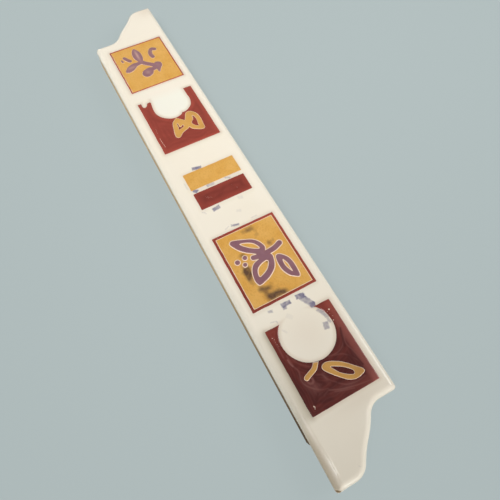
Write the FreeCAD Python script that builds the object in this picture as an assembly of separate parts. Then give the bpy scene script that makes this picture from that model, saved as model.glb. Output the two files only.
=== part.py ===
"""Border tile: one fired piece of buff earthenware with a glazed, ogee-ended face slab over a bedding pad.

Frame: X along the tile, Y across it, +Z out of the decorated face. The origin is on the back of the tile,
under the middle of its box, so the tile lies on z = 0 with its face up.
"""
import FreeCAD, Part
import math
import os

# Face slab, in millimetres. The course length is the length that one tile adds to a laid border.
COURSE_LENGTH = 304.8
WIDTH = 49.2
SLAB_THICKNESS = 4.5
EDGE_ROLL = 3.4
CORNER_RADIUS = 1.6

# Ogee end: how far the tongue reaches past the shoulder, the slopes of the curve in degrees where it
# crosses the middle and where it is steepest, and the radius that brings it back square to the sides.
TONGUE_REACH = 24.0
MIDDLE_SLOPE = 43.0
STEEPEST_SLOPE = 55.0
SHOULDER_RADIUS = 9.8

# Bedding pad under the slab: its height, how far its ends stand back from the shoulders, how much further
# they reach on the tongue's side, and their draft in degrees, which lets the damp tile out of the die.
PAD_HEIGHT = 8.5
PAD_SETBACK = 1.0
PAD_LEAN = 5.1
PAD_DRAFT = 15.0
BACK_CHAMFER = 0.8

# Keying grooves along the back, which the bedding mortar grips.
GROOVE_COUNT = 4
GROOVE_WIDTH = 4.0
GROOVE_DEPTH = 1.2
GROOVE_MARGIN = 12.0


def ogee_end(shoulder_x):
    """Edges of one end, from the shoulder on the -Y side to the tip of the bay on the +Y side.

    The curve is point-symmetric about its middle. Each half leaves the middle at MIDDLE_SLOPE, steepens on
    a large arc to STEEPEST_SLOPE, and turns square to the sides on an arc of SHOULDER_RADIUS.
    """
    middle = math.radians(MIDDLE_SLOPE)
    steep = math.radians(STEEPEST_SLOPE)
    sweep_rise = TONGUE_REACH / 2 - SHOULDER_RADIUS * (1 - math.cos(steep))
    sweep_radius = sweep_rise / (math.cos(middle) - math.cos(steep))

    def on_sweep(slope):
        """Offset from the middle, across and along, where the large arc has this slope."""
        across = sweep_radius * (math.sin(slope) - math.sin(middle))
        along = sweep_radius * (math.cos(middle) - math.cos(slope))
        return across, along

    def on_shoulder(slope):
        """Offset from the middle where the shoulder arc has this slope."""
        across, along = on_sweep(steep)
        across += SHOULDER_RADIUS * (math.sin(steep) - math.sin(slope))
        along += SHOULDER_RADIUS * (math.cos(slope) - math.cos(steep))
        return across, along

    def place(offset, side):
        """Point of the end at an offset from its middle, on the +Y side (1) or the -Y side (-1)."""
        across, along = offset
        x = shoulder_x - TONGUE_REACH / 2 - side * along
        return FreeCAD.Vector(x, side * across, 0)

    start = FreeCAD.Vector(shoulder_x, -WIDTH / 2, 0)
    finish = FreeCAD.Vector(shoulder_x - TONGUE_REACH, WIDTH / 2, 0)
    edges = [Part.LineSegment(start, place(on_shoulder(0), -1)).toShape()]
    arcs = [
        (on_shoulder(0), on_shoulder(steep / 2), on_sweep(steep), -1),
        (on_sweep(steep), on_sweep((steep + middle) / 2), on_sweep(middle), -1),
        (on_sweep(middle), on_sweep((steep + middle) / 2), on_sweep(steep), 1),
        (on_sweep(steep), on_shoulder(steep / 2), on_shoulder(0), 1),
    ]
    for first, through, last, side in arcs:
        arc = Part.Arc(place(first, side), place(through, side), place(last, side))
        edges.append(arc.toShape())
    edges.append(Part.LineSegment(place(on_shoulder(0), 1), finish).toShape())
    return edges


def corner_edges(block, height):
    """The upright edges where the ends of a block meet its two long sides."""
    upright = [edge for edge in block.Edges if edge.BoundBox.ZLength > height / 2]
    widest = max(abs(edge.CenterOfMass.y) for edge in upright)
    return [edge for edge in upright if abs(edge.CenterOfMass.y) > widest - CORNER_RADIUS]


def make_slab():
    """Face slab: the ogee-ended outline, with its upper edge rolled over all round.

    Both ends have the same curve, a course length apart, so tiles lock end to end.
    """
    far_shoulder = -(COURSE_LENGTH - TONGUE_REACH) / 2
    near_shoulder = far_shoulder + COURSE_LENGTH
    far_end = ogee_end(far_shoulder)
    near_end = ogee_end(near_shoulder)
    sides = []
    for y, setback in ((-WIDTH / 2, 0), (WIDTH / 2, TONGUE_REACH)):
        start = FreeCAD.Vector(far_shoulder - setback, y, 0)
        finish = FreeCAD.Vector(near_shoulder - setback, y, 0)
        sides.append(Part.LineSegment(start, finish).toShape())
    outline = Part.Wire(Part.__sortEdges__(far_end + near_end + sides))
    slab = Part.Face(outline).extrude(FreeCAD.Vector(0, 0, SLAB_THICKNESS))
    slab = slab.makeFillet(CORNER_RADIUS, corner_edges(slab, SLAB_THICKNESS))
    face_edges = [edge for edge in slab.Edges if edge.BoundBox.ZMin > SLAB_THICKNESS / 2]
    slab = slab.makeFillet(EDGE_ROLL, face_edges)
    slab.translate(FreeCAD.Vector(0, 0, PAD_HEIGHT))
    return slab


def make_pad():
    """Bedding pad: a long block flush with the slab's sides, with drafted ends, and half its back's length.

    Its ends lie along the shoulders and lean a little under the tongues, so both tongues hang clear of it.
    Its corners are cut on the chord of the slab's rounded ones, and its back edge is chamfered.
    """
    half_top = (COURSE_LENGTH - TONGUE_REACH) / 2 - PAD_SETBACK
    half_back = half_top - PAD_HEIGHT * math.tan(math.radians(PAD_DRAFT))

    def corners(half_length, z):
        """The pad's four corners at one level, in order round it."""
        return [
            FreeCAD.Vector(-half_length, -WIDTH / 2, z),
            FreeCAD.Vector(half_length + PAD_LEAN, -WIDTH / 2, z),
            FreeCAD.Vector(half_length, WIDTH / 2, z),
            FreeCAD.Vector(-half_length - PAD_LEAN, WIDTH / 2, z),
        ]

    back = corners(half_back, 0)
    top = corners(half_top, PAD_HEIGHT)
    walls = [back[::-1], top]
    for here in range(4):
        beyond = (here + 1) % 4
        walls.append([back[here], back[beyond], top[beyond], top[here]])
    faces = [Part.Face(Part.makePolygon(wall + wall[:1])) for wall in walls]
    pad = Part.Solid(Part.Shell(faces))
    pad = pad.makeChamfer(CORNER_RADIUS, corner_edges(pad, PAD_HEIGHT))
    back_edges = [edge for edge in pad.Edges if edge.BoundBox.ZMax < PAD_HEIGHT / 2]
    return pad.makeChamfer(BACK_CHAMFER, back_edges), half_back


def make_groove(y, half_back):
    """One keying groove: a slot with round ends, kept a margin short of the pad's ends."""
    run = half_back - GROOVE_MARGIN
    radius = GROOVE_WIDTH / 2
    slot = Part.makeBox(2 * run, GROOVE_WIDTH, GROOVE_DEPTH, FreeCAD.Vector(-run, y - radius, 0))
    ends = [Part.makeCylinder(radius, GROOVE_DEPTH, FreeCAD.Vector(x, y, 0)) for x in (-run, run)]
    return slot.multiFuse(ends).removeSplitter()


def make_tile():
    """The whole tile as one solid: slab and pad pressed together, then the grooves in its back."""
    pad, half_back = make_pad()
    tile = make_slab().fuse(pad).removeSplitter()
    spacing = WIDTH / (GROOVE_COUNT + 1)
    for number in range(GROOVE_COUNT):
        y = spacing * (number - (GROOVE_COUNT - 1) / 2)
        tile = tile.cut(make_groove(y, half_back))
    return tile.Solids[0]


os.makedirs("parts", exist_ok=True)
border_tile = make_tile()
border_tile.exportStep("parts/border_tile.step")
box = border_tile.optimalBoundingBox()
print("border_tile", border_tile.isValid(), "volume", round(border_tile.Volume, 1), "mm3")
print("box", round(box.XLength, 2), round(box.YLength, 2), round(box.ZLength, 2))
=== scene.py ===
"""Looks of a Victorian border tile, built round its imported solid: a cream-glazed strip with enamelled panels.

Lengths are in millimetres and turn to metres where a mesh is made. X runs along the tile, Y across it, and Z
out of its face. "Far" and "near" are the tile's ends at -X and +X.
"""

import bmesh
import bpy
import numpy as np
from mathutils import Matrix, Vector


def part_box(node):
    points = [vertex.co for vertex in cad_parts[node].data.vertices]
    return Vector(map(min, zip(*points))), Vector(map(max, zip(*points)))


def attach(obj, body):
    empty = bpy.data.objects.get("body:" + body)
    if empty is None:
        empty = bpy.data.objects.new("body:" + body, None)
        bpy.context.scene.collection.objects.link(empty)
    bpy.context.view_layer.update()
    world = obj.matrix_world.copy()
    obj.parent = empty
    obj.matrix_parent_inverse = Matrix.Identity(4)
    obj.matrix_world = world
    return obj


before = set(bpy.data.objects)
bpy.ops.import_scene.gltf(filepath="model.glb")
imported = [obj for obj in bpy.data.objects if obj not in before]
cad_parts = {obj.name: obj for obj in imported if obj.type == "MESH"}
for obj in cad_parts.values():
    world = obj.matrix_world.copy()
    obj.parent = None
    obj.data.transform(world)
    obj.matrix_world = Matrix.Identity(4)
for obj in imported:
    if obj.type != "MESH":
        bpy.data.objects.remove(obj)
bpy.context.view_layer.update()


# Body: one pressed and fired slab of buff earthenware with its bedding pad, bare on the back and along the
# sides below the glaze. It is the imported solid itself, and takes only a finish here.
def linear(colour):
    """An sRGB hex colour such as "#A1B2C3" as linear red, green and blue, with full alpha."""
    srgb = np.array([int(colour[at:at + 2], 16) for at in (1, 3, 5)]) / 255
    rgb = np.where(srgb <= 0.04045, srgb / 12.92, ((srgb + 0.055) / 1.055) ** 2.4)
    return (*rgb.tolist(), 1.0)


def add_node(tree, kind, output, inputs, **settings):
    """Add one shader node, set its properties, set or link its inputs, and give one of its outputs."""
    node = tree.nodes.new("ShaderNode" + kind)
    for name, value in settings.items():
        setattr(node, name, value)
    for socket, value in inputs.items():
        if isinstance(value, bpy.types.NodeSocket):
            tree.links.new(value, node.inputs[socket])
        else:
            node.inputs[socket].default_value = value
    return node.outputs[output]


def new_finish(name, inputs):
    """A material named for the real one, with its shader's constant inputs set, and its tree and shader."""
    finish = bpy.data.materials.new(name)
    finish.use_nodes = True
    shader = finish.node_tree.nodes["Principled BSDF"]
    for socket, value in inputs.items():
        shader.inputs[socket].default_value = value
    return finish, finish.node_tree, shader


# Fired clay scatters all light: it looks dry and sandy, with iron specks and pale grog in a warm buff, and it
# turns dark brown round the near end of the pad, which is painted shade. A colour mix has numbered sockets: 0
# takes the share, 6 and 7 the two colours, and 2 gives the result. A layer's share runs from none at bare
# to the most at full.
mm = 0.001
clay_cloud = 14.0
clay_grit, grit_relief = 0.7, 0.2
iron_speck = 1.6
near_shade_middle, near_shade_reach = 136.0, 84.0
earthenware, tree, shader = new_finish("buff earthenware", {"Roughness": 0.9, "IOR": 1.45})
place = add_node(tree, "TexCoord", "Object", {})
cloud, grit = (
    add_node(tree, "TexNoise", "Fac", {"Vector": place, "Scale": 1 / (size * mm), "Detail": detail})
    for size, detail in ((clay_cloud, 4.0), (clay_grit, 2.0))
)
speck = add_node(tree, "TexVoronoi", "Distance", {"Vector": place, "Scale": 1 / (iron_speck * mm)})
along = add_node(tree, "SeparateXYZ", "X", {0: place})
from_near_shade = add_node(tree, "Math", "Value", {0: along, 1: near_shade_middle * mm}, operation="SUBTRACT")
off_near_shade = add_node(tree, "Math", "Value", {0: from_near_shade}, operation="ABSOLUTE")
tone = add_node(tree, "Mix", 2, {0: cloud, 6: linear("#B5976A"), 7: linear("#C8AC82")}, data_type="RGBA")
# The last layer is painted shade: the clay turns dark brown round the near end of the pad.
for layer, bare, full, most, colour in (
        (grit, 0.45, 0.75, 0.45, "#D2BB97"), (speck, 0.2, 0.08, 0.5, "#7A624A"),
        (off_near_shade, near_shade_reach * mm, 0.0, 1.0, "#5A4222")):
    share = add_node(
        tree, "MapRange", "Result", {"Value": layer, "From Min": bare, "From Max": full, "To Max": most},
    )
    tone = add_node(tree, "Mix", 2, {0: share, 6: tone, 7: linear(colour)}, data_type="RGBA")
tree.links.new(tone, shader.inputs["Base Color"])
rough_clay = add_node(
    tree, "Bump", "Normal", {"Height": grit, "Strength": 0.5, "Distance": grit_relief * mm},
)
tree.links.new(rough_clay, shader.inputs["Normal"])
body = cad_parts["border_tile"]
body.data.materials.clear()
body.data.materials.append(earthenware)


# Cream glaze: a clear lead glaze over white slip, poured on the face so that it wraps the rolled edge and
# stops in an uneven line low on the sides. It pulls thin on the roll, stands in a low bead along the near
# tongue's left roll, and has flaked off one near corner.
tile_low, tile_high = (np.array(corner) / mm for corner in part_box("border_tile"))
tile_length, tile_width, face_height = tile_high - tile_low
tongue_reach = 24.0
course_length = tile_length - tongue_reach
middle_slope, steepest_slope = np.radians((43.0, 55.0))
shoulder_radius = 9.8
edge_roll = 3.4
corner_radius = 1.6
glaze_thickness = 0.12
glaze_swell, swell_length = 0.05, 26.0
wave_count = 7
glaze_line = 8.85
glaze_line_wander, short_wander, long_wander = 0.22, 9.0, 30.0
lip_bulge, lip_tuck = 0.02, 0.06
lip_top, lip_bottom = 0.3, 0.1
bead_height, bead_width, bead_y = 0.28, 0.48, -20.95
bead_start, bead_finish = (144.0, 152.0), (159.5, 157.5)
chip_centre = (164.0, -24.4, 10.6)
chip_radius, chip_depth, chip_lean = 1.5, 0.4, (0.6, -0.6, 0.5)
chip_raggedness, chip_grain, chip_edge = 0.35, 2.0, 0.3
face_columns, arc_points, corner_points, roll_points = 560, 22, 9, 15


def ripple(x, y, wavelength, seed):
    """A smooth random surface from -1 to 1: the mean of plane waves with drawn headings and phases."""
    draw = np.random.default_rng(seed)
    headings = draw.uniform(0, np.pi, wave_count)
    phases = draw.uniform(0, 2 * np.pi, wave_count)
    stretches = draw.uniform(0.7, 1.5, wave_count)
    total = np.zeros(np.broadcast(x, y).shape)
    for heading, phase, stretch in zip(headings, phases, stretches):
        travel = x * np.cos(heading) + y * np.sin(heading)
        total = total + np.sin(2 * np.pi * travel / (wavelength * stretch) + phase)
    return total / wave_count


def progress(value, start, finish):
    """Share of the way from start to finish that a value has come, held between 0 and 1."""
    return np.clip((value - start) / (finish - start), 0, 1)


def skin_height(x, y):
    """Height of the glazed face: the face, a glaze thickness, and a slow swell of poured glaze above it."""
    return face_height + glaze_thickness + glaze_swell * (1 + ripple(x, y, swell_length, seed=3))


def ogee_end(flat_end):
    """One end of the tile from -Y to +Y: offsets from its middle, along and across, and its slope.

    Each half leaves the middle at the middle slope, steepens on a large arc to the steepest slope, turns
    square to the sides on the shoulder arc, and runs flat to flat_end. The other half is its half turn.
    """
    rise = tongue_reach / 2 - shoulder_radius * (1 - np.cos(steepest_slope))
    sweep_radius = rise / (np.cos(middle_slope) - np.cos(steepest_slope))
    sweep = np.linspace(middle_slope, steepest_slope, arc_points)
    shoulder = np.linspace(steepest_slope, 0, arc_points)[1:]
    across = sweep_radius * (np.sin(sweep) - np.sin(middle_slope))
    along = sweep_radius * (np.cos(middle_slope) - np.cos(sweep))
    turn_across = across[-1] + shoulder_radius * (np.sin(steepest_slope) - np.sin(shoulder))
    turn_along = along[-1] + shoulder_radius * (np.cos(shoulder) - np.cos(steepest_slope))
    flat = np.linspace(turn_across[-1], flat_end, arc_points)[1:]
    across = np.concatenate([across, turn_across, flat])
    along = np.concatenate([along, turn_along, np.full(flat.size, turn_along[-1])])
    slope = np.concatenate([sweep, shoulder, np.zeros(flat.size)])
    return (
        np.concatenate([along[:0:-1], -along]),
        np.concatenate([-across[:0:-1], across]),
        np.concatenate([slope[:0:-1], slope]),
    )


def lay_quads(rows, columns):
    """Corner numbers of the quads of a grid of points, counted row by row, facing up where rows run to +Y."""
    corner = np.arange(rows * columns).reshape(rows, columns)
    quads = [corner[:-1, :-1], corner[:-1, 1:], corner[1:, 1:], corner[1:, :-1]]
    return np.stack(quads, -1).reshape(-1, 4)


def put_piece(name, points, quads, finish, slot):
    """Make one smooth piece of points in millimetres and quads, with its finish, and fix it to the tile."""
    mesh = bpy.data.meshes.new(name)
    mesh.from_pydata((points * mm).tolist(), [], quads.tolist())
    mesh.shade_smooth()
    mesh.materials.append(finish)
    piece = bpy.data.objects.new(name, mesh)
    bpy.context.scene.collection.objects.link(piece)
    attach(piece, "root")
    return piece


def write_attribute(mesh, name, values):
    """Store one number for each point of a mesh, for its finish to read."""
    mesh.attributes.new(name, "FLOAT", "POINT").data.foreach_set("value", values.astype(np.float32))


def glaze_skin():
    """Points and quads of the glaze over the face and its edge.

    The flat of the face is ruled between its two ends, each drawn in by the roll. Round it, rings follow the
    roll's quarter circle outwards and down, then the wall to the glaze line, and last turn in to the body.
    A ring's height comes from its true distance to the tile's outline, which has round corners.
    """
    x, y, slope = ogee_end(tile_width / 2 - edge_roll)
    outward = np.stack([np.cos(slope), np.sin(slope)], -1)
    middle = np.stack([x, y], -1)
    half_course = np.array([course_length / 2, 0])
    far = middle - half_course + edge_roll * outward
    near = middle + half_course - edge_roll * outward
    share = np.linspace(0, 1, face_columns)[None, :, None]
    face = far[:, None] * (1 - share) + near[:, None] * share

    side = np.array([0, edge_roll])
    runs = [
        (face[0], face[0] - side),
        (face[:, -1], face[:, -1] + edge_roll * outward),
        (face[-1, ::-1], face[-1, ::-1] + side),
        (face[::-1, 0], face[::-1, 0] - edge_roll * outward[::-1]),
    ]
    turn = np.radians(np.linspace(0, 90, corner_points))[:, None]
    headings = np.array([(0, -1), (1, 0), (0, 1), (-1, 0), (0, -1)])
    inner, outer, corner_turn = [], [], []
    for (run_inner, run_outer), leaving, entering in zip(runs, headings[:-1], headings[1:]):
        centre = run_inner[-1] + (edge_roll - corner_radius) * (leaving + entering)
        arc = centre + corner_radius * (np.cos(turn) * leaving + np.sin(turn) * entering)
        inner += [run_inner, np.repeat(run_inner[-1:], len(arc), 0)]
        outer += [run_outer, arc]
        corner_turn += [np.full(len(run_inner), np.nan), turn[:, 0]]
    inner, outer, corner_turn = np.concatenate(inner), np.concatenate(outer), np.concatenate(corner_turn)

    roll_radius = edge_roll + glaze_thickness
    roll_centre = face_height - edge_roll
    lean = np.radians(np.linspace(90, 0, roll_points))[:, None]
    drawn_in = (edge_roll - roll_radius * np.cos(lean)) / edge_roll
    spread = edge_roll - corner_radius
    toward_leaving = (1 - drawn_in) * corner_radius * np.cos(corner_turn) - spread * drawn_in
    toward_entering = (1 - drawn_in) * corner_radius * np.sin(corner_turn) - spread * drawn_in
    past_arc = np.hypot(np.maximum(toward_leaving, 0), np.maximum(toward_entering, 0))
    before_arc = np.minimum(np.maximum(toward_leaving, toward_entering), 0)
    in_corner = corner_radius - past_arc - before_arc
    inset = np.where(np.isnan(corner_turn), edge_roll * drawn_in, in_corner)
    rings = outer + drawn_in[..., None] * (inner - outer)
    out = np.minimum(edge_roll - inset, roll_radius)
    heights = roll_centre + np.sqrt(roll_radius ** 2 - out ** 2)

    wall_x, wall_y = rings[-1].T
    waver = ripple(wall_x, wall_y, short_wander, seed=5) + ripple(wall_x, wall_y, long_wander, seed=6)
    line = glaze_line + glaze_line_wander * waver
    lip = rings[-1] + lip_bulge * (outer - inner)
    tuck = outer + lip_tuck * (inner - outer)
    skirt = np.stack([rings[-1], lip, lip, tuck])
    half_way = 0.5 * (roll_centre + line) + lip_bottom
    drop = np.stack([half_way, line + lip_top, line + lip_bottom, line])
    rings = np.concatenate([rings, skirt])
    heights = np.concatenate([heights, drop])

    face_points = np.concatenate([face, np.full(face.shape[:2] + (1,), face_height + glaze_thickness)], -1)
    ring_points = np.concatenate([rings, heights[..., None]], -1)
    points = np.concatenate([face_points.reshape(-1, 3), ring_points.reshape(-1, 3)])
    ring_count, loop_count = heights.shape
    closed = lay_quads(ring_count, loop_count + 1)
    here, along = closed // (loop_count + 1), closed % (loop_count + 1) % loop_count
    ring_quads = (here * loop_count + along)[:, ::-1] + face.shape[0] * face.shape[1]
    quads = np.concatenate([lay_quads(*face.shape[:2]), ring_quads])

    x, y, z = points.T
    swell = skin_height(x, y) - face_height - glaze_thickness
    on_tongue = progress(x, *bead_start) * progress(x, *bead_finish)
    bead = bead_height * on_tongue * np.exp(-((y - bead_y) / bead_width) ** 2)
    points[:, 2] += progress(z, roll_centre, face_height) ** 2 * swell + bead
    from_chip = np.linalg.norm(points - np.array(chip_centre), axis=1)
    ragged = chip_radius * (1 + chip_raggedness * ripple(x + points[:, 2], y, chip_grain, seed=8))
    flake = np.clip((ragged - from_chip) / chip_edge, 0, 1)[:, None]
    points -= flake * chip_depth * np.array(chip_lean)
    return points, quads


# Old blue-violet print left on the glaze, in short smears: middle x and y, length, width, heading in degrees
# from X, and strength.
ragged_reach, clear_of_print = 0.45, 2.0
print_smears = [
    (-17.4, -5.8, 5.6, 2.0, 78, 1.0),
    (-3.4, -13.5, 3.2, 1.9, 38, 1.0),
    (-3.2, -3.8, 4.0, 2.0, 86, 0.5),
    (-3.1, 7.0, 3.8, 0.8, 46, 0.5),
    (-3.0, 0.0, 30.0, 1.6, 90, 0.1),
    (12.7, -7.8, 4.6, 2.3, 97, 0.9),
    (-8.4, -16.9, 5.0, 0.7, 0, 0.22),
    (12.0, -15.3, 1.9, 0.5, 60, 0.35),
    (12.9, -14.8, 1.5, 0.4, 50, 0.35),
    (12.6, 7.6, 3.0, 2.0, 75, 0.14),
    (20.0, 2.7, 2.8, 1.7, 70, 0.12),
    (27.2, -3.3, 4.6, 1.2, 75, 0.8),
    (26.9, -8.2, 2.8, 0.5, 110, 0.35),
    (27.4, 8.4, 4.0, 0.7, 88, 0.2),
    (79.9, -1.6, 5.4, 2.2, 88, 1.0),
    (81.6, -3.2, 2.2, 1.6, 86, 0.6),
    (79.9, -10.7, 2.4, 1.5, 76, 0.6),
    (85.2, -12.2, 2.6, 0.5, 80, 0.35),
    (86.2, -10.4, 1.4, 0.5, 10, 0.3),
    (79.7, 7.0, 5.0, 2.6, 84, 1.0),
    (83.0, 8.5, 8.6, 3.4, 27, 0.72),
    (87.0, 10.3, 2.6, 2.7, 78, 1.0),
    (91.4, 11.7, 3.4, 1.8, 30, 0.58),
    (94.4, 12.9, 3.4, 1.7, 18, 0.58),
    (97.4, 13.2, 3.2, 1.2, 4, 0.42),
    (99.2, 10.5, 3.8, 2.8, -16, 0.7),
    (92.0, -9.4, 3.2, 1.0, 30, 0.12),
    (86.6, -3.4, 3.6, 2.4, 40, 0.08),
    (159.6, -10.5, 0.9, 0.4, 60, 0.3),
]


def smeared(x, y, smears):
    """Distance past the edge of the nearest smear, inside negative, and the strength of the print near by.

    A smear is a turned oblong. The distance is the larger of the overshoots along it and across it.
    """
    nearest = np.full(x.shape, clear_of_print)
    strength = np.zeros(x.shape)
    for middle_x, middle_y, length, width, heading, full in smears:
        ahead_x, ahead_y = np.cos(np.radians(heading)), np.sin(np.radians(heading))
        along = (x - middle_x) * ahead_x + (y - middle_y) * ahead_y
        across = (y - middle_y) * ahead_x - (x - middle_x) * ahead_y
        past = np.maximum(np.abs(along) - length / 2, np.abs(across) - width / 2)
        strength = np.where(past < ragged_reach, np.maximum(strength, full), strength)
        nearest = np.minimum(nearest, past)
    return nearest, strength


# Glaze is glassy: a soft gloss over a faintly clouded cream, tanned where it pulls thin low on the roll and
# by painted shade on the near tongue's left roll, milky in the far reserve, dulled where the enamels bled into
# it and by painted shade beside them, greyed by painted shade along the left of the near oxblood panel, worn
# dull on the near tongue's left roll, and broken up at the worn edges of the print.
glaze_cloud = 32.0
orange_peel, peel_relief = 3.2, 0.04
print_grain, print_fray = 0.9, 0.9
print_wear = 2.6
glaze_roughness, worn_roughness = 0.22, 0.45
thin_below, thin_share, left_shade_share = 1.2, 0.3, 0.75
worn_run, left_shade_band, dull_band = (126.0, 144.0), (20.4, 24.6), (21.3, 22.1)
weld_gap = 0.0005
# Overlays: thin glaze with painted shade, bleed with painted shade, and painted side shade.
overlays = [("thin_glaze_and_shade", "#B7A283"), ("milk", "#EFEDDF"), ("bleed_and_shade", "#CBB49B"), ("side_shade", "#A79E88")]
cream_glaze, tree, shader = new_finish("cream lead glaze", {"Roughness": glaze_roughness, "IOR": 1.52})
place = add_node(tree, "TexCoord", "Object", {})
cloud, grain, wear, peel = (
    add_node(tree, "TexNoise", "Fac", {"Vector": place, "Scale": 1 / (size * mm), "Detail": detail})
    for size, detail in ((glaze_cloud, 3.0), (print_grain, 2.0), (print_wear, 2.0), (orange_peel, 1.0))
)
tone = add_node(tree, "Mix", 2, {0: cloud, 6: linear("#EEE4D0"), 7: linear("#F2EADA")}, data_type="RGBA")
for overlay, colour in overlays:
    share = add_node(tree, "Attribute", "Fac", {}, attribute_name=overlay)
    tone = add_node(tree, "Mix", 2, {0: share, 6: tone, 7: linear(colour)}, data_type="RGBA")
print_edge = add_node(tree, "Attribute", "Fac", {}, attribute_name="print_edge")
print_strength = add_node(tree, "Attribute", "Fac", {}, attribute_name="print_strength")
ragged = add_node(tree, "Math", "Value", {0: grain, 1: print_fray, 2: print_edge}, operation="MULTIPLY_ADD")
cover = add_node(tree, "MapRange", "Result", {"Value": ragged, "From Min": 0.75, "From Max": 0.15})
left_on = add_node(
    tree, "MapRange", "Result", {"Value": wear, "From Min": 0.3, "From Max": 0.65, "To Min": 0.6},
)
inked = add_node(tree, "Math", "Value", {0: cover, 1: print_strength}, operation="MULTIPLY")
print_share = add_node(tree, "Math", "Value", {0: inked, 1: left_on}, operation="MULTIPLY")
printed = add_node(tree, "Mix", 2, {0: print_share, 6: tone, 7: linear("#6A6583")}, data_type="RGBA")
tree.links.new(printed, shader.inputs["Base Color"])
worn = add_node(tree, "Attribute", "Fac", {}, attribute_name="worn")
dull_gloss = add_node(
    tree, "MapRange", "Result", {"Value": worn, "To Min": glaze_roughness, "To Max": worn_roughness},
)
tree.links.new(dull_gloss, shader.inputs["Roughness"])
dimpled = add_node(
    tree, "Bump", "Normal", {"Height": peel, "Strength": 0.4, "Distance": peel_relief * mm},
)
tree.links.new(dimpled, shader.inputs["Normal"])

skin = put_piece("cream_glaze_skin", *glaze_skin(), cream_glaze, "cream_glaze")
merged = bmesh.new()
merged.from_mesh(skin.data)
bmesh.ops.remove_doubles(merged, verts=merged.verts, dist=weld_gap * mm)
merged.to_mesh(skin.data)
merged.free()
skin_points = np.empty(3 * len(skin.data.vertices), np.float32)
skin.data.vertices.foreach_get("co", skin_points)
skin_x, skin_y, skin_z = skin_points.reshape(-1, 3).T / mm
low_on_roll = progress(skin_z, face_height - thin_below, glaze_line)
up_tongue = progress(skin_x, *worn_run)
# Painted shade: tan that darkens the near tongue's left roll towards its edge.
shaded_left_roll = up_tongue * progress(-skin_y, *left_shade_band)
write_attribute(
    skin.data, "thin_glaze_and_shade", np.maximum(thin_share * low_on_roll ** 2, left_shade_share * shaded_left_roll),
)
write_attribute(skin.data, "worn", up_tongue * progress(-skin_y, *dull_band))
print_edge, print_strength = smeared(skin_x, skin_y, print_smears)
write_attribute(skin.data, "print_edge", print_edge)
write_attribute(skin.data, "print_strength", print_strength)


# Ochre panels: two oblongs of opaque ochre enamel, flooded on thick enough to round over at their edges.
# The near one is smoked with dark kiln smudges. The leaf sprigs are painted over them.
panel_step = 0.3
wobble_length = 7.0
least_slope = 0.5
far_ochre_span = (-130.2, -90.0, -17.0, 18.4)
near_ochre_span = (30.4, 75.8, -17.6, 18.3)


def oblong(x, y, span, rounding, wobble, seed):
    """Signed distance to an oblong with round corners, inside negative, with a hand-painted wobble."""
    x_low, x_high, y_low, y_high = span
    past_x = np.abs(x - (x_low + x_high) / 2) - (x_high - x_low) / 2 + rounding
    past_y = np.abs(y - (y_low + y_high) / 2) - (y_high - y_low) / 2 + rounding
    corner = np.hypot(np.maximum(past_x, 0), np.maximum(past_y, 0))
    edge = corner + np.minimum(np.maximum(past_x, past_y), 0) - rounding
    return edge + wobble * ripple(x, y, wobble_length, seed)


def flood(name, field, span, step, base, crown, edge, finish, slot, relief=None):
    """Flood glaze over every point where field is negative, as one raised film on the glazed face.

    The grid covers span. Squares wholly outside are left out, and corners that stick out are drawn back
    along the field's slope to where it is zero. The film stands base over the face at its border, and rises
    by crown on a quarter circle over a depth of edge, with any relief added by how far it has risen. Each
    point's depth inside the border is stored for the finish, and returned.
    """
    x_low, x_high, y_low, y_high = span
    margin = 3 * step
    across = np.arange(y_low - margin, y_high + margin, step)
    along = np.arange(x_low - margin, x_high + margin, step)
    y, x = np.meshgrid(across, along, indexing="ij")
    away = field(x, y)
    slope_y, slope_x = np.gradient(away, step)
    pull = np.maximum(away, 0) / np.maximum(slope_x ** 2 + slope_y ** 2, least_slope ** 2)
    x, y = x - pull * slope_x, y - pull * slope_y
    depth = np.clip(-away, 0, edge)
    risen = np.sqrt(1 - (1 - depth / edge) ** 2)
    height = skin_height(x, y) + base + crown * risen
    if relief is not None:
        height = height + risen * relief(x, y, away)
    quads = lay_quads(*x.shape)
    quads = quads[(away.ravel()[quads] < 0).any(1)]
    used, numbers = np.unique(quads, return_inverse=True)
    points = np.stack([x, y, height], -1).reshape(-1, 3)[used]
    piece = put_piece(name, points, numbers.reshape(-1, 4), finish, slot)
    depth = -away.ravel()[used]
    write_attribute(piece.data, "depth", depth)
    return piece, points, depth


# Kiln smudges on the near ochre panel: middle x and y, reach along and across, strength.
kiln_smudges = [
    (54.4, -9.9, 2.8, 2.0, 1.0),
    (57.6, -10.6, 3.4, 1.8, 0.8),
    (54.4, -11.8, 3.2, 1.5, 0.5),
    (59.4, -12.0, 2.8, 1.2, 0.55),
    (45.8, -8.6, 1.4, 2.0, 0.7),
    (67.2, -8.8, 1.7, 1.8, 0.8),
    (68.2, -5.4, 1.6, 2.0, 0.75),
    (70.2, -7.6, 1.6, 1.3, 0.4),
    (73.2, -6.4, 2.2, 2.3, 1.0),
    (73.0, -2.8, 2.0, 2.6, 0.85),
    (73.7, 1.0, 1.7, 2.5, 0.95),
    (33.4, 1.4, 1.7, 3.2, 0.85),
    (37.0, 4.4, 2.8, 1.8, 0.36),
    (45.6, 7.8, 1.5, 1.4, 0.9),
    (44.8, 10.6, 1.3, 1.2, 0.45),
    (54.8, 1.5, 1.2, 1.0, 0.75),
    (46.0, -14.5, 6.0, 1.5, 0.2),
    (66.0, -6.0, 12.0, 8.0, 0.14),
]


def clouded(x, y, clouds):
    """Strength of overlapping soft clouds, at most 1: each falls off as exp(-r^2), r its elliptic radius."""
    total = np.zeros(x.shape)
    for middle_x, middle_y, reach_x, reach_y, full in clouds:
        radius_2 = ((x - middle_x) / reach_x) ** 2 + ((y - middle_y) / reach_y) ** 2
        total = total + full * np.exp(-radius_2)
    return np.minimum(total, 1)


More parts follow.
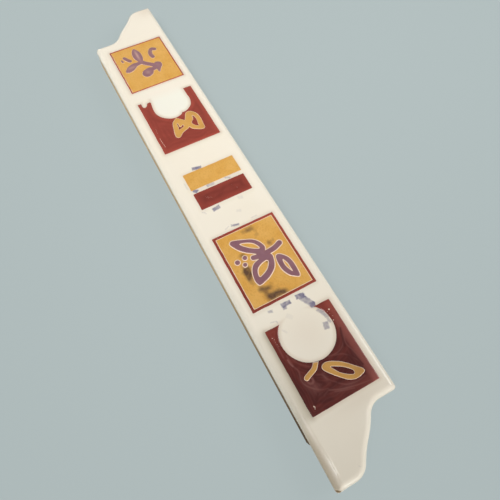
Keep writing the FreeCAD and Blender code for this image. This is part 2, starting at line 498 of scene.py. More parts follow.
# Iron-yellow enamel is opaque and satin-glossy: a warm ochre, mottled where it flowed, with fine dark pores,
# smoked almost black in torn-edged clouds, and dulled to a brown tan where it lies over the oxblood.
ochre_mottle = 6.0
ochre_grain, grain_relief = 0.9, 0.05
smoke_tear, smoke_fray = 2.4, 0.9
ochre_enamel, tree, shader = new_finish("ochre enamel", {"Roughness": 0.34, "IOR": 1.5})
place = add_node(tree, "TexCoord", "Object", {})
mottle, grain, tear = (
    add_node(tree, "TexNoise", "Fac", {"Vector": place, "Scale": 1 / (size * mm), "Detail": detail})
    for size, detail in ((ochre_mottle, 4.0), (ochre_grain, 2.0), (smoke_tear, 4.0))
)
tone_share = add_node(tree, "MapRange", "Result", {"Value": mottle, "From Min": 0.3, "From Max": 0.7})
tone = add_node(tree, "Mix", 2, {0: tone_share, 6: linear("#D69F48"), 7: linear("#DFAC5C")}, data_type="RGBA")
smudge = add_node(tree, "Attribute", "Fac", {}, attribute_name="smudge")
torn = add_node(tree, "Math", "Value", {0: tear, 1: smoke_fray, 2: smudge}, operation="MULTIPLY_ADD")
for layer, bare, full, most, colour in (
        (grain, 0.5, 0.75, 0.3, "#B37C2B"), (torn, 0.6, 1.5, 0.95, "#50382F")):
    share = add_node(
        tree, "MapRange", "Result", {"Value": layer, "From Min": bare, "From Max": full, "To Max": most},
    )
    tone = add_node(tree, "Mix", 2, {0: share, 6: tone, 7: linear(colour)}, data_type="RGBA")
fade = add_node(tree, "Attribute", "Fac", {}, attribute_name="fade")
faded = add_node(tree, "Mix", 2, {0: fade, 6: tone, 7: linear("#AE7F45")}, data_type="RGBA")
tree.links.new(faded, shader.inputs["Base Color"])
flowed = add_node(
    tree, "Bump", "Normal", {"Height": grain, "Strength": 0.3, "Distance": grain_relief * mm},
)
tree.links.new(flowed, shader.inputs["Normal"])

for name, span, smudges in (("far_ochre_panel", far_ochre_span, []),
                            ("near_ochre_panel", near_ochre_span, kiln_smudges)):
    panel, points, _ = flood(
        name, lambda x, y: oblong(x, y, span, rounding=0.4, wobble=0.08, seed=11), span, panel_step,
        base=-0.04, crown=0.16, edge=0.8, finish=ochre_enamel, slot="ochre_glaze",
    )
    write_attribute(panel.data, "smudge", clouded(points[:, 0], points[:, 1], smudges))


# Oxblood frames: a thin line of iron-red enamel drawn round each ochre panel, over its edge. The far one is
# finer and paler than the near one, which keeps a hair of pale slip inside it.
far_frame_span = (-130.9, -89.4, -17.9, 19.0)
near_frame_span = (29.4, 76.8, -18.9, 18.9)
far_line_width, near_line_width = 0.85, 1.6
slip_hair, slip_overlap = 0.4, 0.1
frame_step = 0.2

# Iron-red enamel is deep and wet-looking: thin films glow brick red, and pooled glaze goes to dark oxblood,
# under a pale pink veil that is mostly painted sheen, standing in for reflections in the gloss, drawn out in
# threads where it flowed.
pool_size, pool_swirl, pool_stir = 9.0, 1.2, 0.3
oxblood_enamel, tree, shader = new_finish("oxblood enamel", {"Roughness": 0.12, "IOR": 1.54})
place = add_node(tree, "TexCoord", "Object", {})
pool = add_node(
    tree, "TexNoise", "Fac",
    {"Vector": place, "Scale": 1 / (pool_size * mm), "Detail": 4.0, "Distortion": pool_swirl},
)
pooled = add_node(tree, "Attribute", "Fac", {}, attribute_name="pooled")
stirred = add_node(tree, "Math", "Value", {0: pool, 1: pool_stir, 2: pooled}, operation="MULTIPLY_ADD")
deep_share = add_node(tree, "MapRange", "Result", {"Value": stirred, "From Min": 0.15, "From Max": 1.15})
tone = add_node(tree, "Mix", 2, {0: deep_share, 6: linear("#A94B3C"), 7: linear("#4E1F1C")}, data_type="RGBA")
veil_and_sheen = add_node(tree, "Attribute", "Fac", {}, attribute_name="veil_and_sheen")
with_sheen = add_node(tree, "Mix", 2, {0: veil_and_sheen, 6: tone, 7: linear("#A06A62")}, data_type="RGBA")
tree.links.new(with_sheen, shader.inputs["Base Color"])

# Slip for the lines is fine white clay in clear glaze: a warm pinkish white, faintly stained by the colours
# beside it.
slip_stain = 1.5
pale_slip, tree, shader = new_finish("pale slip", {"Roughness": 0.35, "IOR": 1.5})
place = add_node(tree, "TexCoord", "Object", {})
tint = add_node(tree, "TexNoise", "Fac", {"Vector": place, "Scale": 1 / (slip_stain * mm), "Detail": 2.0})
tone = add_node(tree, "Mix", 2, {0: tint, 6: linear("#E2C3A6"), 7: linear("#F0DCCB")}, data_type="RGBA")
tree.links.new(tone, shader.inputs["Base Color"])


def ring(x, y, span, width, inset):
    """Signed distance to a line of one width along an oblong's border, with its outer edge inset from it."""
    border = oblong(x, y, span, rounding=0.5, wobble=0.1, seed=12)
    return np.abs(border + inset + width / 2) - width / 2


flood(
    "near_frame_line", lambda x, y: ring(x, y, near_frame_span, slip_hair, near_line_width - slip_overlap),
    near_frame_span, frame_step, base=0.06, crown=0.1, edge=0.2, finish=pale_slip, slot="cream_glaze",
)
for name, span, line_width, middle_pool, growth in (
        ("far_frame", far_frame_span, far_line_width, 0.0, 0.0),
        ("near_frame", near_frame_span, near_line_width, 0.32, 0.1)):
    line, points, _ = flood(
        name, lambda x, y: ring(x, y, span, line_width, 0), span, frame_step,
        base=-0.03, crown=0.22, edge=0.45, finish=oxblood_enamel, slot="oxblood_glaze",
    )
    along_share = (points[:, 0] - (span[0] + span[1]) / 2) / (span[1] - span[0])
    across_share = (points[:, 1] - (span[2] + span[3]) / 2) / (span[3] - span[2])
    write_attribute(line.data, "pooled", middle_pool + 2 * growth * (along_share - across_share))


# Oxblood panels: two oblongs of thick iron-red enamel flooded round a reserved round of bare cream glaze,
# which is open to the far side. The glaze was stirred as it flowed, and froze in soft ropes and swirls.
far_red_span = (-78.8, -34.9, -18.3, 18.7)
near_red_span = (87.8, 132.9, -18.4, 19.2)
far_reserve = [
    (-90.0, -9.6), (-77.8, -10.0), (-72.0, -10.7), (-67.0, -10.7), (-62.5, -8.5), (-59.4, -4.5),
    (-58.4, -0.6), (-59.3, 3.2), (-60.7, 4.6), (-60.5, 5.8), (-61.3, 8.6), (-64.2, 12.0), (-68.5, 13.5),
    (-73.0, 13.4), (-80.0, 13.3), (-90.0, 13.3),
]
far_notch = [
    (-90.0, -15.9), (-80.0, -15.9), (-75.6, -15.9), (-74.7, -14.6), (-75.8, -13.2), (-77.3, -12.5),
    (-77.7, -11.0), (-78.4, -9.4), (-90.0, -9.4),
]
near_reserve_centre = (98.1, 0.1)
near_reserve_radius, near_reserve_wobble = 14.35, 0.12
curve_steps = 6
no_length = 1e-12
swirl_height, swirl_length, swirl_bend = 0.02, 4.2, 2.6
dimple_height, dimple_length = 0.025, 6.0
rope_length, rope_bend, rope_shade = 3.2, 2.0, 0.06


def smooth_loop(points, closed=True):
    """A smooth curve through given points: each span is a cubic with its ends' Catmull-Rom slopes."""
    knots = np.array(points, float)
    if closed:
        before, after = np.roll(knots, 1, 0), np.roll(knots, -1, 0)
        start, finish = knots, after
    else:
        ends = np.concatenate([2 * knots[:1] - knots[1:2], knots, 2 * knots[-1:] - knots[-2:-1]])
        before, after = ends[:-2], ends[2:]
        start, finish = knots[:-1], knots[1:]
    slopes = (after - before) / 2
    start_slope = slopes if closed else slopes[:-1]
    finish_slope = np.roll(slopes, -1, 0) if closed else slopes[1:]
    t = np.linspace(0, 1, curve_steps + 1)[:-1, None, None]
    curve = ((1 + 2 * t) * (1 - t) ** 2 * start + t * (1 - t) ** 2 * start_slope
             + t ** 2 * (3 - 2 * t) * finish + t ** 2 * (t - 1) * finish_slope)
    curve = curve.transpose(1, 0, 2).reshape(-1, 2)
    return curve if closed else np.concatenate([curve, knots[-1:]])


def line_distance(x, y, curve, closed):
    """Distance to a curve of short straight spans, and for a closed one whether each point is inside it."""
    starts = curve if closed else curve[:-1]
    ends = np.roll(curve, -1, 0) if closed else curve[1:]
    nearest = np.full(x.shape, np.inf)
    inside = np.zeros(x.shape, bool)
    for (start_x, start_y), (end_x, end_y) in zip(starts, ends):
        run_x, run_y = end_x - start_x, end_y - start_y
        reach = (x - start_x) * run_x + (y - start_y) * run_y
        share = np.clip(reach / (run_x ** 2 + run_y ** 2 + no_length), 0, 1)
        gap = np.hypot(x - start_x - share * run_x, y - start_y - share * run_y)
        nearest = np.minimum(nearest, gap)
        crosses = (start_y > y) != (end_y > y)
        where = start_x + (y - start_y) * run_x / (run_y if run_y else no_length)
        inside ^= crosses & (x < where)
    return nearest, inside


def within(x, y, points):
    """Signed distance to the smooth loop through the points, inside negative."""
    nearest, inside = line_distance(x, y, smooth_loop(points), True)
    return np.where(inside, -nearest, nearest)


def stroke(x, y, points, width):
    """Signed distance to a brush stroke of one width along the smooth line through the points."""
    return line_distance(x, y, smooth_loop(points, False), False)[0] - width / 2


def far_red(x, y):
    """The far oxblood panel: its oblong, less the reserve and the notch beside it."""
    panel = oblong(x, y, far_red_span, rounding=0.4, wobble=0.1, seed=14)
    return np.maximum(panel, np.maximum(-within(x, y, far_reserve), -within(x, y, far_notch)))


def near_red(x, y):
    """The near oxblood panel: its oblong, less the round reserve, which opens a little to the far side."""
    panel = oblong(x, y, near_red_span, rounding=0.4, wobble=0.1, seed=15)
    from_centre = np.hypot(x - near_reserve_centre[0], y - near_reserve_centre[1])
    reserve = near_reserve_radius + near_reserve_wobble * ripple(x, y, wavelength=9.0, seed=16)
    return np.maximum(panel, reserve - from_centre)


def swirls(x, y, away):
    """Ropes in the frozen glaze: waves across the distance to the border, bent by a slow ripple."""
    drift = -away + swirl_bend * ripple(x, y, wavelength=17.0, seed=21)
    dimples = dimple_height * ripple(x, y, dimple_length, seed=22)
    return swirl_height * np.sin(2 * np.pi * drift / swirl_length) + dimples


def ropes(x, y, depth):
    """Paler and darker ropes from -1 to 1: sines of the depth from the border, bent by a slow ripple."""
    drift = depth + rope_bend * ripple(x, y, wavelength=15.0, seed=24)
    return np.sin(2 * np.pi * drift / rope_length) * (0.6 + 0.4 * ripple(x, y, wavelength=11.0, seed=25))


red_panel, points, depth = flood(
    "far_oxblood_panel", far_red, far_red_span, panel_step, base=-0.04, crown=0.28, edge=1.1,
    finish=oxblood_enamel, slot="oxblood_glaze", relief=swirls,
)
far_ropes = rope_shade * ropes(points[:, 0], points[:, 1], depth)
write_attribute(red_panel.data, "pooled", 0.12 + 0.26 * progress(depth, 0, 3.0) + far_ropes)

# The near panel ran towards the near end: it is thin beside the far corners and deepest past the reserve.
# Painted sheen, a pale pink veil standing in for reflections in the gloss, lies along its right border, which
# is also painted a lighter red, and in threads: their points and strength. A milky ring lies beside the stalk.
# The sheen's soft clouds are middle x and y, reach along and across, and strength. Dark threads cut it.
thread_width, dark_width = 0.4, 0.5
thread_spacing, thread_bend = 1.7, 1.8
veil_ring_x, veil_ring_y = 118.4, -10.6
veil_ring_radius, veil_ring_width = 1.3, 0.6
sheen_threads = [
    ([(92.0, -16.5), (97.0, -16.3), (103.0, -16.5)], 0.18),
    ([(105.0, -15.2), (107.2, -15.0), (108.8, -14.5)], 0.55),
    ([(103.0, -14.6), (108.8, -14.3), (112.0, -13.3), (116.0, -14.4), (119.2, -13.7), (122.4, -11.0)], 0.22),
    ([(122.4, -11.0), (124.4, -8.0), (125.6, -5.0), (127.2, -8.6)], 0.14),
    ([(103.0, -13.6), (108.0, -12.0), (111.4, -9.0), (112.6, -7.6)], 0.16),
    ([(126.2, -5.0), (128.4, 0.0), (129.8, 5.0), (130.8, 10.0), (131.5, 15.0)], 0.26),
    ([(128.0, -3.0), (129.4, 1.0), (131.0, 6.0)], 0.2),
    ([(125.6, 0.6), (128.0, 4.0), (129.0, 9.0), (128.6, 13.6)], 0.18),
    ([(112.8, 3.0), (113.2, 8.0), (111.0, 12.6), (106.0, 15.2), (98.0, 16.4)], 0.2),
    ([(113.6, 6.0), (115.0, 10.0), (118.6, 13.4), (123.0, 16.0)], 0.16),
    ([(98.0, 17.2), (105.0, 16.6), (111.0, 14.2), (116.0, 15.4), (122.0, 16.6)], 0.2),
    ([(117.4, -7.0), (118.6, -4.4), (121.6, -3.0), (124.8, 0.0)], 0.14),
]
sheen_clouds = [
    (122.2, -10.2, 3.2, 2.4, 0.24), (118.6, -13.4, 4.0, 1.2, 0.14), (128.6, 3.0, 1.8, 7.0, 0.14),
    (121.0, 16.0, 8.0, 1.6, 0.08), (106.0, 15.6, 6.0, 1.4, 0.1), (120.4, -3.6, 3.0, 1.2, 0.16),
]
dark_threads = [
    [(103.6, 15.9), (107.6, 14.4), (111.8, 13.0)], [(117.0, 11.8), (119.6, 14.6), (123.6, 15.7)],
    [(125.0, -10.6), (126.8, -12.2), (128.4, -14.2)], [(117.6, -7.4), (119.4, -8.2), (121.4, -6.6)],
]
red_panel, points, depth = flood(
    "near_oxblood_panel", near_red, near_red_span, panel_step, base=-0.04, crown=0.28, edge=1.1,
    finish=oxblood_enamel, slot="oxblood_glaze", relief=swirls,
)
x, y = points[:, 0], points[:, 1]
first_run = progress(x, 88.0, 100.0)
last_run = progress(x, 100.0, 118.0)
right_share = progress(y, 14.8, 17.4)
near_share = progress(x, 127.0, 132.0)
near_right = near_share * progress(y, 2.0, 16.0)
fine_drift = depth + thread_bend * ripple(x, y, wavelength=12.0, seed=26)
thread_sheen = 0.06 * np.clip(np.sin(2 * np.pi * fine_drift / thread_spacing), 0, 1) ** 2
for line, strength in sheen_threads:
    off_line = stroke(x, y, line, width=0)
    thread_sheen = np.maximum(thread_sheen, strength * np.exp(-(off_line / thread_width) ** 2))
darker = np.zeros(x.shape)
for line in dark_threads:
    darker = np.maximum(darker, np.exp(-(stroke(x, y, line, width=0) / dark_width) ** 2))
off_ring = np.hypot(x - veil_ring_x, y - veil_ring_y) - veil_ring_radius
ring_veil = 0.34 * np.exp(-(off_ring / veil_ring_width) ** 2)
# Painted sheen: the right border is painted paler and lighter red, standing in for a reflection.
edge_sheen = right_share * (0.06 + 0.22 * first_run) + 0.14 * near_right
pooled = 0.56 + 0.24 * first_run + 0.18 * last_run
retoned = right_share * (0.2 + 0.1 * last_run) + 0.06 * near_share + 0.14 * near_right
write_attribute(
    red_panel.data, "pooled", pooled - retoned + rope_shade * ropes(x, y, depth) + 0.25 * darker,
)
veil_and_sheen_shares = np.maximum(np.maximum(edge_sheen, ring_veil), thread_sheen) + clouded(x, y, sheen_clouds)
write_attribute(red_panel.data, "veil_and_sheen", veil_and_sheen_shares * (1 - 0.8 * darker))


# Bars: one ochre and one oxblood oblong side by side across the middle of the tile, in the same enamels.
# They were flooded on like the panels, and the red one is deepest away from its border.
ochre_bar_span = (-16.2, -4.0, -15.6, 17.0)
oxblood_bar_span = (-1.5, 10.2, -15.5, 16.8)
bar_step, bar_rope_shade = 0.25, 0.05
flood(
    "ochre_bar", lambda x, y: oblong(x, y, ochre_bar_span, rounding=0.4, wobble=0.08, seed=31),
    ochre_bar_span, bar_step, base=-0.04, crown=0.18, edge=0.8, finish=ochre_enamel, slot="ochre_glaze",
)
red_bar, points, depth = flood(
    "oxblood_bar", lambda x, y: oblong(x, y, oxblood_bar_span, rounding=0.4, wobble=0.1, seed=32),
    oxblood_bar_span, bar_step, base=-0.04, crown=0.24, edge=0.9, finish=oxblood_enamel,
    slot="oxblood_glaze", relief=swirls,
)
bar_ropes = bar_rope_shade * ropes(points[:, 0], points[:, 1], depth)
write_attribute(red_bar.data, "pooled", 0.3 + 0.28 * progress(depth, 0, 3.5) + bar_ropes)


# Bleed and painted shade: where the panels, frames and bars ran a little into the cream glaze as they melted,
# which leaves a dull warm margin round each of them, partly painted shade beside the raised enamel, and soft
# tan clouds: middle x and y, reach along and across, strength. Grey painted shade lies along the left of the
# near oxblood panel, and the far reserve is milky.
margin_reach = 1.4
tan_clouds = [(135.5, 6.0, 5.0, 16.0, 0.2), (98.0, 0.0, 11.0, 11.0, 0.16), (-161.0, 20.0, 7.0, 7.0, 0.3)]
from_near_red = near_red(skin_x, skin_y)
painted = [(far_red(skin_x, skin_y), 0.5), (from_near_red, 0.45)]
for span, rounding, strength in (
        (far_frame_span, 0.5, 0.45), (near_frame_span, 0.5, 0.3),
        (ochre_bar_span, 0.4, 0.22), (oxblood_bar_span, 0.4, 0.22)):
    painted.append((oblong(skin_x, skin_y, span, rounding, wobble=0, seed=0), strength))
# The margin round each painted area darkens the cream: bled colour, and in part painted shade.
margin_shares = [strength * np.exp(-(np.maximum(away, 0) / margin_reach) ** 2) for away, strength in painted]
margin_shares.append(clouded(skin_x, skin_y, tan_clouds))
write_attribute(skin.data, "bleed_and_shade", np.max(margin_shares, axis=0))
# Painted shade: grey darkening of the cream along the left beside the near oxblood panel, wider past it.
shaded_side = progress(-skin_y, 16.0, 18.5) * progress(skin_x, 84.0, 90.0) * progress(skin_x, 135.5, 131.5)
past_panel = progress(skin_x, 90.0, 130.0)
side_shade_reach = 2.0 + 4.0 * past_panel ** 2
overlay = (0.85 - 0.23 * past_panel) * np.exp(-np.maximum(from_near_red, 0) / side_shade_reach)
write_attribute(skin.data, "side_shade", shaded_side * overlay)
in_reserve = progress(-within(skin_x, skin_y, far_reserve), 0, 2.0)
write_attribute(skin.data, "milk", 0.8 * in_reserve * progress(skin_x, -83.0, -76.0))


# Plum sprigs: open leaves, stems and berries brushed in manganese-purple enamel on the ochre panels, inside
# a fine pale slip line that keeps the colours from running together.
sprig_step = 0.16
far_sprig_span = (-128.5, -97.0, -16.0, 14.0)
near_sprig_span = (33.0, 72.5, -15.5, 16.0)
left_leaf = [
    (35.5, -10.2), (36.9, -11.6), (40.0, -10.3), (42.6, -8.6), (44.8, -6.4), (46.6, -3.9), (48.6, -1.2),
    (50.2, 1.6), (48.4, 3.9), (46.2, 4.7), (43.6, 3.9), (41.4, 2.6), (39.4, 0.4), (37.6, -3.6), (36.2, -7.2),
]
left_opening = [
    (39.1, -6.8), (40.4, -6.2), (42.2, -4.5), (43.9, -2.6), (45.3, -0.4), (46.2, 1.5), (45.2, 1.8),
    (43.4, 1.0), (41.5, -0.5), (40.1, -2.8), (39.2, -5.2),
]
middle_leaf = [
    (51.6, -1.6), (52.4, -4.6), (54.0, -6.8), (56.4, -8.3), (59.0, -9.1), (62.0, -9.5), (64.6, -8.8),
    (65.0, -7.3), (64.3, -4.7), (63.4, -2.0), (61.9, 0.6), (60.0, 3.0), (57.6, 4.6), (54.8, 5.5), (52.8, 5.8),
    (50.8, 4.6), (50.4, 1.4),
]
middle_opening = [
    (54.1, 1.6), (54.2, -0.2), (54.8, -2.4), (56.2, -4.7), (58.4, -6.0), (60.6, -6.4), (61.0, -5.6),
    (60.4, -3.8), (59.5, -1.8), (58.3, 0.0), (56.4, 1.5), (55.0, 2.2),
]
right_leaf = [
    (53.7, 8.4), (54.4, 7.1), (56.4, 6.4), (59.2, 6.1), (62.2, 6.2), (65.0, 7.0), (67.5, 8.5), (69.0, 10.4),
    (70.1, 12.2), (69.2, 13.2), (66.6, 13.6), (63.0, 13.7), (60.0, 13.4), (57.5, 12.5), (55.5, 11.0),
    (54.2, 9.6),
]
right_slit = [(57.7, 9.6), (59.2, 9.0), (61.6, 9.0), (64.0, 9.6), (66.0, 10.7), (63.6, 10.8), (60.6, 10.7)]
near_leaves = [(left_leaf, left_opening), (middle_leaf, middle_opening), (right_leaf, right_slit)]
near_stem = [(50.2, 1.0), (50.1, 5.0), (49.7, 8.6), (48.8, 11.4), (48.2, 12.8)]
near_stub = [(50.5, 0.0), (50.0, -2.2), (49.6, -4.0)]
near_dots = [(50.2, 0.6, 2.9), (48.2, -12.8, 1.4), (51.2, -9.8, 1.2), (47.6, -8.1, 1.3)]


def opened(x, y, outline, openings):
    """Signed distance to a loop less its openings: the largest of its own and each opening's, negated."""
    shape = within(x, y, outline)
    for opening in openings:
        shape = np.maximum(shape, -within(x, y, opening))
    return shape


def dotted(x, y, dots):
    """Signed distances to dots of middle x and y and radius: the distance to the middle, less the radius."""
    return [np.hypot(x - dot_x, y - dot_y) - radius for dot_x, dot_y, radius in dots]


def near_sprig(x, y):
    """The near sprig: the least distance to three open leaves, a stem, a stub, a knot and three berries."""
    leaves = [opened(x, y, leaf, [opening]) for leaf, opening in near_leaves]
    stems = [stroke(x, y, near_stem, width=3.0), stroke(x, y, near_stub, width=2.8)]
    return np.minimum.reduce(leaves + stems + dotted(x, y, near_dots))


# The far sprig's leaves, its brush strokes as points and width, and the washed-out clouds in its leaves.
upper_leaf = [
    (-127.3, -2.0), (-123.8, -4.4), (-119.5, -5.0), (-115.8, -4.0), (-113.0, -1.6), (-115.2, 0.4),
    (-119.5, 1.1), (-123.6, 0.5),
]
side_leaf = [
    (-113.8, -2.6), (-114.4, -7.4), (-112.6, -11.8), (-109.2, -14.2), (-107.4, -12.4), (-108.6, -8.2),
    (-111.4, -5.0),
]
lower_leaf = [
    (-105.8, 2.4), (-106.0, -0.8), (-104.6, -4.0), (-101.8, -5.3), (-99.0, -3.8), (-98.6, -0.8),
    (-100.4, 1.8), (-103.0, 2.6),
]
lower_bud = [
    (-109.2, 6.6), (-107.6, 9.8), (-104.6, 9.9), (-102.0, 7.8), (-99.4, 5.9), (-103.0, 5.0), (-106.4, 4.6),
]
far_strokes = [
    ([(-114.0, -2.0), (-111.0, 0.2), (-108.6, 3.0), (-106.4, 5.4)], 3.3),
    ([(-112.3, -6.0), (-112.8, -2.0)], 2.8),
    ([(-103.8, 1.4), (-104.3, 5.0)], 3.6),
    ([(-121.6, -10.6), (-119.4, -9.4), (-117.4, -8.1)], 2.5),
    ([(-120.2, -13.0), (-118.4, -12.7)], 1.3),
    ([(-120.9, 11.0), (-121.8, 9.1), (-120.1, 7.5), (-117.3, 6.7), (-114.6, 7.2)], 2.8),
]
far_washes = [
    (-120.2, -1.8, 4.4, 0.75, 0.9),
    (-111.0, -9.4, 1.3, 3.2, 0.45),
    (-102.3, -1.2, 1.5, 1.5, 0.4),
    (-106.0, 7.2, 2.4, 1.2, 0.1),
    (-118.6, 8.0, 2.4, 0.8, 0.2),
]


def far_sprig(x, y):
    """The far sprig: the least distance to three leaves, a bud, a bent stem, and three loose brush marks."""
    leaves = [within(x, y, leaf) for leaf in (upper_leaf, side_leaf, lower_leaf, lower_bud)]
    return np.minimum.reduce(leaves + [stroke(x, y, line, width) for line, width in far_strokes])


# Manganese purple dries a little matt: a greyed plum, streaked by the brush, redder where it is thin, and
# washed out to a dusty pink in the leaves of the far sprig.
brush_streak = 5.0
plum_enamel, tree, shader = new_finish("plum enamel", {"Roughness": 0.34, "IOR": 1.5})
place = add_node(tree, "TexCoord", "Object", {})
streak = add_node(tree, "TexNoise", "Fac", {"Vector": place, "Scale": 1 / (brush_streak * mm), "Detail": 3.0})
tone = add_node(tree, "Mix", 2, {0: streak, 6: linear("#764D56"), 7: linear("#99707A")}, data_type="RGBA")
depth = add_node(tree, "Attribute", "Fac", {}, attribute_name="depth")
thick_share = add_node(
    tree, "MapRange", "Result", {"Value": depth, "From Min": 0.1, "From Max": 1.2, "To Min": 0.25},
)
retoned = add_node(tree, "Mix", 2, {0: thick_share, 6: linear("#8E6162"), 7: tone}, data_type="RGBA")
wash = add_node(tree, "Attribute", "Fac", {}, attribute_name="wash")
washed = add_node(tree, "Mix", 2, {0: wash, 6: retoned, 7: linear("#C49E92")}, data_type="RGBA")
tree.links.new(washed, shader.inputs["Base Color"])

for name, sprig, span, slip_line, washes, least_wash in (
        ("far_sprig", far_sprig, far_sprig_span, 0.12, far_washes, 0.1),
        ("near_sprig", near_sprig, near_sprig_span, 0.42, [], 0.0)):
    flood(
        name + "_line", lambda x, y: sprig(x, y) - slip_line, span, sprig_step,
        base=0.08, crown=0.12, edge=0.3, finish=pale_slip, slot="cream_glaze",
    )
    spray, points, _ = flood(
        name, sprig, span, sprig_step,
        base=0.14, crown=0.14, edge=0.5, finish=plum_enamel, slot="plum_glaze",
    )
    write_attribute(spray.data, "wash", least_wash + clouded(points[:, 0], points[:, 1], washes))


# Ochre leaves on the oxblood panels: a bow of two loops on the far one, and a stalk with one open leaf on the
# near one, brushed in ochre enamel inside the same pale slip line.
far_bow_span = (-60.5, -40.5, -8.5, 14.5)
near_leaf_span = (111.0, 130.0, -14.5, 17.0)
bow = [
    (-57.5, -1.2), (-55.0, -4.3), (-52.0, -5.4), (-48.5, -6.3), (-45.0, -7.0), (-43.2, -6.6), (-42.6, -5.4),
    (-43.2, -4.1), (-45.0, -2.2), (-46.0, 0.0), (-46.6, 2.0), (-47.5, 3.5), (-45.5, 4.6), (-43.8, 7.0),
    (-42.6, 9.2), (-42.4, 11.0), (-43.2, 12.0), (-45.0, 12.2), (-50.0, 12.7), (-53.0, 12.6), (-56.0, 11.8),
    (-58.3, 10.0), (-59.2, 8.0), (-58.8, 6.2), (-57.0, 5.0), (-55.0, 4.0), (-53.8, 3.0), (-55.0, 1.8),
    (-56.5, 0.3),
]
bow_openings = [
    [(-53.2, -2.4), (-50.3, -2.7), (-48.3, -3.2), (-48.5, -1.8), (-49.2, 0.4), (-50.4, 0.8), (-50.8, 0.2),
     (-50.0, -1.2), (-50.6, -1.8), (-53.0, -1.8)],
    [(-55.0, 8.8), (-52.0, 8.0), (-50.8, 6.6), (-49.0, 6.2), (-47.0, 7.4), (-45.8, 9.2), (-47.5, 9.4),
     (-50.5, 10.0), (-53.5, 9.9)],
]
stalk = [(111.4, -3.2), (113.2, -4.7), (114.6, -6.3), (115.4, -8.3), (116.0, -10.1), (116.6, -11.6)]
open_leaf = [
    (114.4, -0.8), (115.3, -2.4), (117.3, -2.5), (121.0, 0.3), (124.0, 3.0), (126.4, 5.6), (127.7, 8.5),
    (127.8, 11.0), (127.0, 14.4), (126.0, 14.9), (124.7, 14.3), (122.6, 12.2), (120.0, 9.8), (117.5, 6.9),
    (115.5, 3.6), (114.5, 1.0),
]
leaf_opening = [
    (117.4, 1.4), (118.8, 2.0), (120.5, 3.0), (122.4, 4.6), (124.2, 6.9), (125.3, 9.0), (125.2, 9.8),
    (124.4, 10.1), (123.3, 9.7), (121.6, 8.2), (119.9, 6.1), (118.4, 3.7),
]
stalk_gap = 0.3

# Dull clouds in the leaves, where the oxblood shows through: middle x and y, reach along and across, and
# strength.
leaf_fades = [(125.4, 12.4, 3.4, 3.2, 0.3), (120.4, 9.4, 2.4, 2.4, 0.25)]
bow_fades = [(-57.0, 9.5, 2.6, 3.0, 0.3), (-44.0, -5.5, 2.0, 2.0, 0.2), (-44.0, 11.0, 2.0, 2.4, 0.2)]


def far_bow(x, y):
    """The bow: its outline less the two openings."""
    return opened(x, y, bow, bow_openings)


def near_leaf(x, y):
    """The near leaf: the least distance to the open leaf and to the stalk, cut off at the reserve."""
    from_centre = np.hypot(x - near_reserve_centre[0], y - near_reserve_centre[1])
    off_reserve = near_reserve_radius + stalk_gap - from_centre
    cut_stalk = np.maximum(stroke(x, y, stalk, width=2.5), off_reserve)
    return np.minimum(opened(x, y, open_leaf, [leaf_opening]), cut_stalk)


for name, leaf, span, slip_line, bare_edge, fades, least_fade in (
        ("far_bow", far_bow, far_bow_span, 0.2, 0.0, bow_fades, 0.25),
        ("near_leaf", near_leaf, near_leaf_span, 0.11, 0.11, leaf_fades, 0.5)):
    flood(
        name + "_line", lambda x, y: leaf(x, y) - slip_line, span, sprig_step,
        base=0.14, crown=0.16, edge=0.3, finish=pale_slip, slot="cream_glaze",
    )
    spray, points, _ = flood(
        name, lambda x, y: leaf(x, y) + bare_edge, span, sprig_step,
        base=0.22, crown=0.16, edge=0.5, finish=ochre_enamel, slot="ochre_glaze",
    )
    write_attribute(spray.data, "fade", least_fade + clouded(points[:, 0], points[:, 1], fades))


# Specks and painted highlights: pinholes in the oxblood enamel, where the pale slip under it shows, and pale
# slip strokes painted as highlights: a glint by the near oxblood panel's corner and thin lines along the far
# oxblood panel's top edge and on the oxblood bar. Dots are middle x and y and radius. Highlight strokes are
# their points and width.
speck_step = 0.08
near_specks = [
    (92.8, 16.2, 0.42), (93.4, 14.9, 0.14), (94.9, 15.4, 0.13), (96.6, 16.0, 0.16), (98.6, 15.2, 0.25),
    (92.3, -16.6, 0.2), (93.4, -16.0, 0.14), (94.6, -16.2, 0.12), (96.0, -15.9, 0.12), (97.2, -15.7, 0.12),
]
near_glint = [([(128.9, -15.3), (129.4, -15.0)], 0.5), ([(129.4, -15.0), (130.3, -15.4)], 0.22)]
bar_highlight_strokes = [
    ([(3.3, -10.0), (4.2, -8.6), (5.3, -6.2)], 0.07), ([(2.5, 5.6), (4.0, 7.8), (5.9, 9.3)], 0.05),
]
far_highlight_strokes = [
    ([(-47.5, -16.3), (-44.0, -16.3), (-40.0, -15.9)], 0.2),
    ([(-56.0, -15.6), (-52.0, -16.1), (-47.5, -16.3)], 0.08),
]
for name, span, dots, highlight_strokes in (
        ("far_painted_highlight", (-56.5, -39.5, -17.0, -15.0), [], far_highlight_strokes),
        ("bar_painted_highlights", (2.0, 6.5, -10.5, 10.0), [], bar_highlight_strokes),
        ("near_specks", (91.5, 99.5, -17.5, 17.0), near_specks, []),
        ("near_glint", (128.4, 130.6, -16.0, -14.4), [], near_glint)):
    def marks(x, y):
        """Signed distance to the nearest of the dots and painted highlight strokes."""
        lines = [stroke(x, y, line, width) for line, width in highlight_strokes]
        return np.minimum.reduce(dotted(x, y, dots) + lines)

    flood(
        name, marks, span, speck_step,
        base=0.18, crown=0.14, edge=0.15, finish=pale_slip, slot="cream_glaze",
    )


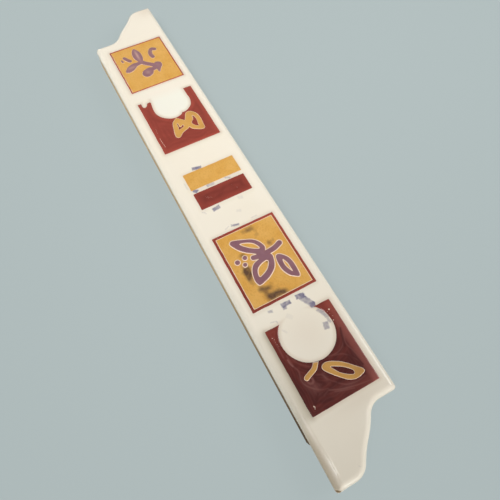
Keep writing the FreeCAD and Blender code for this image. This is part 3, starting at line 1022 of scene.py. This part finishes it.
# Stage: a flat pale blue-grey floor a hair below the tile, lit by two soft lamps over its sides and a low
# strip lamp before its near end. The floor shows its own colour to the camera and keeps a part of the shadow.
floor_reach = 3.0
floor_level = -0.05
floor_shown = 0.85
floor_colour = linear("#B2BEBE")
floor_finish, tree, shader = new_finish("matt grey floor", {"Base Color": floor_colour, "Roughness": 0.9})
camera_ray, glossy_ray, passing_ray = (
    add_node(tree, "LightPath", ray, {}) for ray in ("Is Camera Ray", "Is Glossy Ray", "Is Transmission Ray")
)
seen = add_node(tree, "Math", "Value", {0: camera_ray, 1: glossy_ray}, operation="MAXIMUM")
seen_through = add_node(tree, "Math", "Value", {0: seen, 1: passing_ray}, operation="MAXIMUM")
shown_share = add_node(tree, "Math", "Value", {0: seen_through, 1: floor_shown}, operation="MULTIPLY")
plain = add_node(tree, "Emission", "Emission", {"Color": floor_colour, "Strength": 1.0})
floor_mix = add_node(tree, "MixShader", "Shader", {0: shown_share, 1: shader.outputs["BSDF"], 2: plain})
tree.links.new(floor_mix, tree.nodes["Material Output"].inputs["Surface"])
floor_mesh = bpy.data.meshes.new("floor")
floor_corners = [
    (floor_reach * x, floor_reach * y, floor_level * mm) for x, y in ((-1, -1), (1, -1), (1, 1), (-1, 1))
]
floor_mesh.from_pydata(floor_corners, [], [(0, 1, 2, 3)])
floor_mesh.materials.append(floor_finish)
floor = bpy.data.objects.new("floor", floor_mesh)
bpy.context.scene.collection.objects.link(floor)

# The room is bright all round the horizon and dim overhead.
horizon_strength, zenith_strength = 0.75, 0.2
zenith_height = 0.8
world = bpy.data.worlds.new("studio")
world.use_nodes = True
tree = world.node_tree
heading = add_node(tree, "TexCoord", "Generated", {})
upward = add_node(tree, "SeparateXYZ", "Z", {0: heading})
sky = add_node(
    tree, "MapRange", "Result",
    {"Value": upward, "From Max": zenith_height, "To Min": horizon_strength, "To Max": zenith_strength},
    interpolation_type="SMOOTHSTEP",
)
tree.nodes["Background"].inputs["Color"].default_value = (1.0, 1.0, 1.0, 1.0)
tree.links.new(sky, tree.nodes["Background"].inputs["Strength"])
bpy.context.scene.world = world


def hang_lamp(name, place, aim, width, height, watts, spread):
    """Hang one soft rectangular lamp at a place in metres, facing a point of the tile."""
    lamp = bpy.data.lights.new(name, "AREA")
    lamp.shape = "RECTANGLE"
    lamp.size, lamp.size_y = width, height
    lamp.energy = watts
    lamp.spread = np.radians(spread)
    hung = bpy.data.objects.new(name, lamp)
    hung.location = place
    facing = np.array(place) - np.array(aim)
    level = np.hypot(facing[0], facing[1])
    hung.rotation_euler = (np.arctan2(level, facing[2]), 0, np.arctan2(facing[0], -facing[1]))
    bpy.context.scene.collection.objects.link(hung)


hang_lamp(
    "right_softbox", (0.176, 0.627, 0.482), aim=(-0.178, 0.105, 0.013),
    width=0.45, height=0.28, watts=1.61, spread=137.5,
)
hang_lamp(
    "left_softbox", (-0.096, -0.5, 0.8), aim=(-0.299, -0.02, 0.013),
    width=0.8, height=0.4, watts=0.7, spread=22.8,
)
hang_lamp(
    "front_strip", (0.97, -0.094, 0.134), aim=(0.15, 0.0, 0.013),
    width=0.8, height=0.2, watts=1.6, spread=135.3,
)

# Camera: close above the near end, looking along the tile to its far end.
camera_place = (0.13347, -0.05432, 0.22714)
camera_turn = np.radians((25.566, -0.752, 61.737))
camera = bpy.data.cameras.new("camera")
camera.sensor_width = 36.0
camera.lens = 31.68
camera.clip_start = 0.01
viewer = bpy.data.objects.new("camera", camera)
viewer.location = camera_place
viewer.rotation_euler = camera_turn
bpy.context.scene.collection.objects.link(viewer)
bpy.context.scene.camera = viewer
bpy.context.scene.view_settings.view_transform = "Standard"
